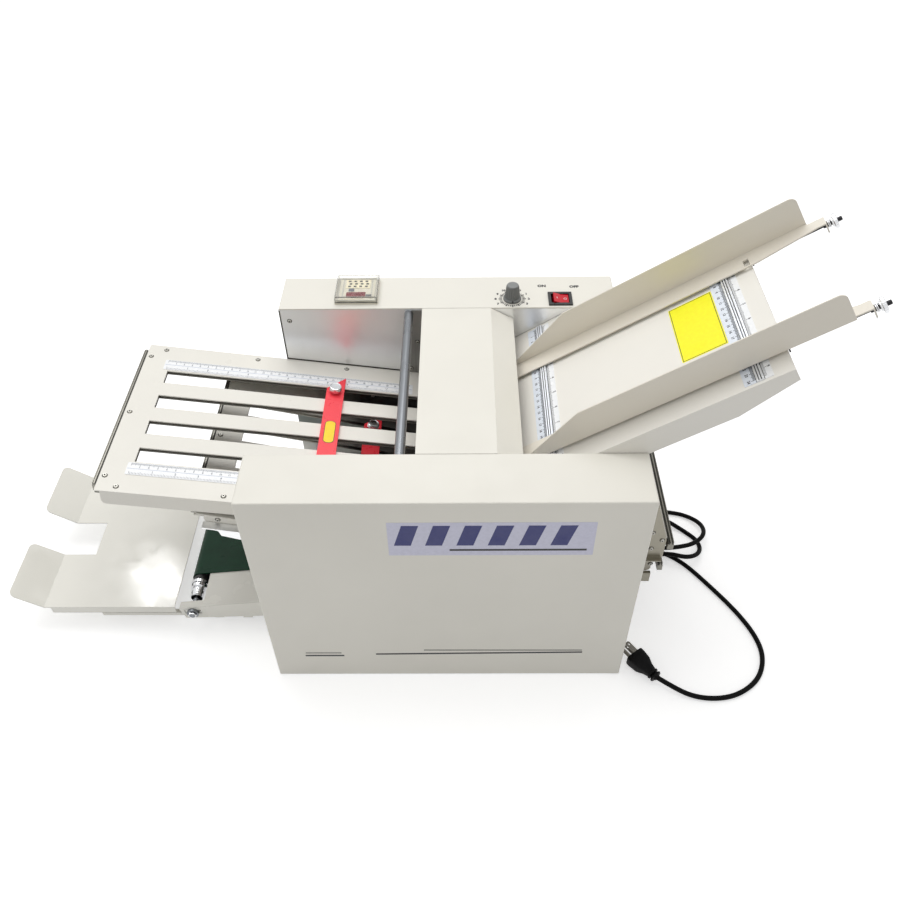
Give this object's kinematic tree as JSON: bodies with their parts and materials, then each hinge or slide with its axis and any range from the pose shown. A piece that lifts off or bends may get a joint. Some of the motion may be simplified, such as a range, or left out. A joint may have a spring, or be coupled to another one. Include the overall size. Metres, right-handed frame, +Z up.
{
  "type": "paper folding machine",
  "caption": "Desk paper folding machine: inclined feed table with side guides, slatted fold plates, gear-driven rollers and a belt delivery with a tray.",
  "frame": {"origin": "centre of the machine's bounding box, without the cord and plug, at the desk surface", "axes": "+X towards the feed table's raised end, +Y towards the control panel, +Z up"},
  "size_m": [0.9806, 0.4306, 0.5068],
  "materials": {
    "cream_paint": "satin powder coat",
    "table_paint": "satin powder coat",
    "frame_steel": "zinc plated",
    "plate_paint": "satin powder coat",
    "rod_steel": "ground",
    "bright_steel": "polished",
    "bearing_bronze": "sintered",
    "rail_aluminium": "ribbed, anodised",
    "pad_rubber": "matt",
    "feet_rubber": "matt",
    "belt_green": "woven",
    "drive_rubber": "matt",
    "roller_black": "ground",
    "roller_grey": "ground",
    "motor_black": "satin",
    "board_green": "matt",
    "counter_cream": "matt",
    "lid_clear": "clear",
    "button_black": "gloss",
    "knob_grey": "matt",
    "switch_black": "gloss",
    "switch_red": "gloss",
    "stop_red": "gloss",
    "cord_black": "matt",
    "plug_black": "matt",
    "blade_metal": "nickel plated"
  },
  "bodies": {
    "machine": {"front_cover": "cream_paint", "rear_cover": "cream_paint", "front_side_frame": "frame_steel", "rear_side_frame": "frame_steel", "base_plate": "frame_steel", "rubber_feet": "feet_rubber", "tie_rods": "rod_steel", "roller_bearings": "bearing_bronze", "feed_table": "table_paint", "ruler_strips": "rail_aluminium", "separator_pad": "pad_rubber", "upper_left_plate": "plate_paint", "upper_left_backplate": "plate_paint", "lower_left_plate": "plate_paint", "upper_right_plate": "plate_paint", "lower_right_plate": "plate_paint", "plate_end_bars": "rail_aluminium", "machine_screws": "bright_steel", "motor": "motor_black", "drive_belts": "drive_rubber", "control_board": "board_green", "conveyor_bed": "table_paint", "conveyor_belt": "belt_green", "conveyor_axle": "rod_steel", "counter_body": "counter_cream", "switch_bezel": "switch_black", "strain_relief": "cord_black", "power_cord": "cord_black", "plug_body": "plug_black", "plug_blades": "blade_metal"},
    "hood": {"hood_cover": "cream_paint"},
    "front_paper_guide": {"front_guide": "table_paint", "front_guide_clamp": "rod_steel"},
    "front_clamp_nut": {"front_guide_nut": "bright_steel"},
    "rear_paper_guide": {"rear_guide": "table_paint", "rear_guide_clamp": "rod_steel"},
    "rear_clamp_nut": {"rear_guide_nut": "bright_steel"},
    "tray": {"delivery_tray": "table_paint"},
    "lid": {"counter_lid": "lid_clear"},
    "reset_button": {"counter_button": "button_black"},
    "rocker": {"switch_rocker": "switch_red"},
    "knob": {"speed_knob": "knob_grey"},
    "upper_left_fold_stop": {"upper_left_stop": "stop_red"},
    "upper_left_thumb_screw": {"upper_left_stop_screw": "bright_steel"},
    "lower_left_fold_stop": {"lower_left_stop": "stop_red"},
    "lower_left_thumb_screw": {"lower_left_stop_screw": "bright_steel"},
    "upper_right_fold_stop": {"upper_right_stop": "stop_red"},
    "upper_right_thumb_screw": {"upper_right_stop_screw": "bright_steel"},
    "lower_right_fold_stop": {"lower_right_stop": "stop_red"},
    "lower_right_thumb_screw": {"lower_right_stop_screw": "bright_steel"},
    "roller_1": {"fold_roller_1": "rod_steel"},
    "roller_2": {"fold_roller_2": "rod_steel"},
    "roller_3": {"fold_roller_3": "rod_steel"},
    "roller_4": {"fold_roller_4": "rod_steel"},
    "roller_5": {"fold_roller_5": "rod_steel"},
    "roller_6": {"fold_roller_6": "rod_steel"},
    "feed_drum": {"feed_roller": "roller_grey"},
    "belt_drive": {"conveyor_drive_roller": "roller_black"},
    "belt_idler": {"conveyor_idler_roller": "roller_black"},
    "motor_shaft": {"motor_pulley": "rail_aluminium"}
  },
  "joints": [
    {"name": "hood_lift", "type": "slide", "parent": "machine", "child": "hood", "axis": [0, 0, 1], "range_m": [0, 0.06]},
    {"name": "front_guide_slide", "type": "slide", "parent": "machine", "child": "front_paper_guide", "axis": [0, 1, 0], "range_m": [-0.022, 0.055]},
    {"name": "front_nut_turn", "type": "hinge", "parent": "front_paper_guide", "child": "front_clamp_nut", "pos_m": [0.48256, -0.092, 0.48562], "axis": [0.8421, 0, 0.5394], "continuous": true},
    {"name": "rear_guide_slide", "type": "slide", "parent": "machine", "child": "rear_paper_guide", "axis": [0, 1, 0], "range_m": [-0.055, 0.055]},
    {"name": "rear_nut_turn", "type": "hinge", "parent": "rear_paper_guide", "child": "rear_clamp_nut", "pos_m": [0.48256, 0.0576, 0.48562], "axis": [0.8421, 0, 0.5394], "continuous": true},
    {"name": "tray_slide", "type": "slide", "parent": "machine", "child": "tray", "axis": [1, 0, 0], "range_m": [-0.04, 0.004]},
    {"name": "lid_hinge", "type": "hinge", "parent": "machine", "child": "lid", "pos_m": [-0.0448, 0.189, 0.3283], "axis": [-1, 0, 0], "range_deg": [0, 85]},
    {"name": "reset_press", "type": "slide", "parent": "machine", "child": "reset_button", "axis": [0, 0, -1], "range_m": [0, 0.0012], "stiffness_N_per_m": 300, "springref_m": -0.001},
    {"name": "rocker_press", "type": "hinge", "parent": "machine", "child": "rocker", "pos_m": [0.2126, 0.145, 0.322], "axis": [0, -1, 0], "range_deg": [0, 22]},
    {"name": "knob_turn", "type": "hinge", "parent": "machine", "child": "knob", "pos_m": [0.1522, 0.1464, 0.326], "axis": [0, 0, 1], "range_deg": [-135, 135]},
    {"name": "upper_left_stop_slide", "type": "slide", "parent": "machine", "child": "upper_left_fold_stop", "axis": [-0.9895, 0, 0.1444], "range_m": [-0.085, 0.19]},
    {"name": "upper_left_screw_turn", "type": "hinge", "parent": "upper_left_fold_stop", "child": "upper_left_thumb_screw", "pos_m": [-0.07331, 0.0684, 0.24043], "axis": [0.1444, 0, 0.9895], "range_deg": [0, 360]},
    {"name": "lower_left_stop_slide", "type": "slide", "parent": "machine", "child": "lower_left_fold_stop", "axis": [-0.9703, 0, 0.2419], "range_m": [-0.04, 0.13]},
    {"name": "lower_left_screw_turn", "type": "hinge", "parent": "lower_left_fold_stop", "child": "lower_left_thumb_screw", "pos_m": [-0.02847, 0.0529, 0.1903], "axis": [0.2419, 0, 0.9703], "range_deg": [0, 360]},
    {"name": "upper_right_stop_slide", "type": "slide", "parent": "machine", "child": "upper_right_fold_stop", "axis": [0.9998, 0, -0.0209], "range_m": [-0.1, 0.06]},
    {"name": "upper_right_screw_turn", "type": "hinge", "parent": "upper_right_fold_stop", "child": "upper_right_thumb_screw", "pos_m": [0.21364, 0.0684, 0.19077], "axis": [0.0209, 0, 0.9998], "range_deg": [0, 360]},
    {"name": "lower_right_stop_slide", "type": "slide", "parent": "machine", "child": "lower_right_fold_stop", "axis": [0.9997, 0, 0.0262], "range_m": [-0.12, 0.044]},
    {"name": "lower_right_screw_turn", "type": "hinge", "parent": "lower_right_fold_stop", "child": "lower_right_thumb_screw", "pos_m": [0.22699, 0.0684, 0.14655], "axis": [-0.0262, 0, 0.9997], "range_deg": [0, 360]},
    {"name": "roller_1_spin", "type": "hinge", "parent": "machine", "child": "roller_1", "pos_m": [0.0676, 0, 0.22608], "axis": [0, 1, 0], "continuous": true},
    {"name": "roller_2_spin", "type": "hinge", "parent": "machine", "child": "roller_2", "pos_m": [0.0638, 0, 0.20006], "axis": [0, 1, 0], "continuous": true},
    {"name": "roller_3_spin", "type": "hinge", "parent": "machine", "child": "roller_3", "pos_m": [0.06325, 0, 0.17377], "axis": [0, 1, 0], "continuous": true},
    {"name": "roller_4_spin", "type": "hinge", "parent": "machine", "child": "roller_4", "pos_m": [0.05689, 0, 0.14825], "axis": [0, 1, 0], "continuous": true},
    {"name": "roller_5_spin", "type": "hinge", "parent": "machine", "child": "roller_5", "pos_m": [0.05758, 0, 0.12196], "axis": [0, 1, 0], "continuous": true},
    {"name": "roller_6_spin", "type": "hinge", "parent": "machine", "child": "roller_6", "pos_m": [0.06869, 0, 0.09812], "axis": [0, 1, 0], "continuous": true},
    {"name": "feed_drum_spin", "type": "hinge", "parent": "machine", "child": "feed_drum", "pos_m": [0.11589, 0, 0.27938], "axis": [0, 1, 0], "continuous": true},
    {"name": "belt_drive_spin", "type": "hinge", "parent": "machine", "child": "belt_drive", "pos_m": [0.01761, 0, 0.06475], "axis": [0, 1, 0], "continuous": true},
    {"name": "belt_idler_spin", "type": "hinge", "parent": "machine", "child": "belt_idler", "pos_m": [-0.2613, 0, 0.0305], "axis": [0, 1, 0], "continuous": true},
    {"name": "motor_shaft_spin", "type": "hinge", "parent": "machine", "child": "motor_shaft", "pos_m": [0.1877, 0, 0.062], "axis": [0, 1, 0], "continuous": true}
  ],
  "couplings": [
    {"joint": "roller_1_spin", "follows": "roller_5_spin", "ratio": 1},
    {"joint": "roller_2_spin", "follows": "roller_5_spin", "ratio": -1},
    {"joint": "roller_3_spin", "follows": "roller_5_spin", "ratio": 1},
    {"joint": "roller_4_spin", "follows": "roller_5_spin", "ratio": -1},
    {"joint": "roller_6_spin", "follows": "roller_5_spin", "ratio": -1},
    {"joint": "feed_drum_spin", "follows": "roller_5_spin", "ratio": 0.6},
    {"joint": "belt_drive_spin", "follows": "roller_5_spin", "ratio": -0.75},
    {"joint": "belt_idler_spin", "follows": "roller_5_spin", "ratio": -0.75},
    {"joint": "motor_shaft_spin", "follows": "roller_5_spin", "ratio": 3}
  ]
}
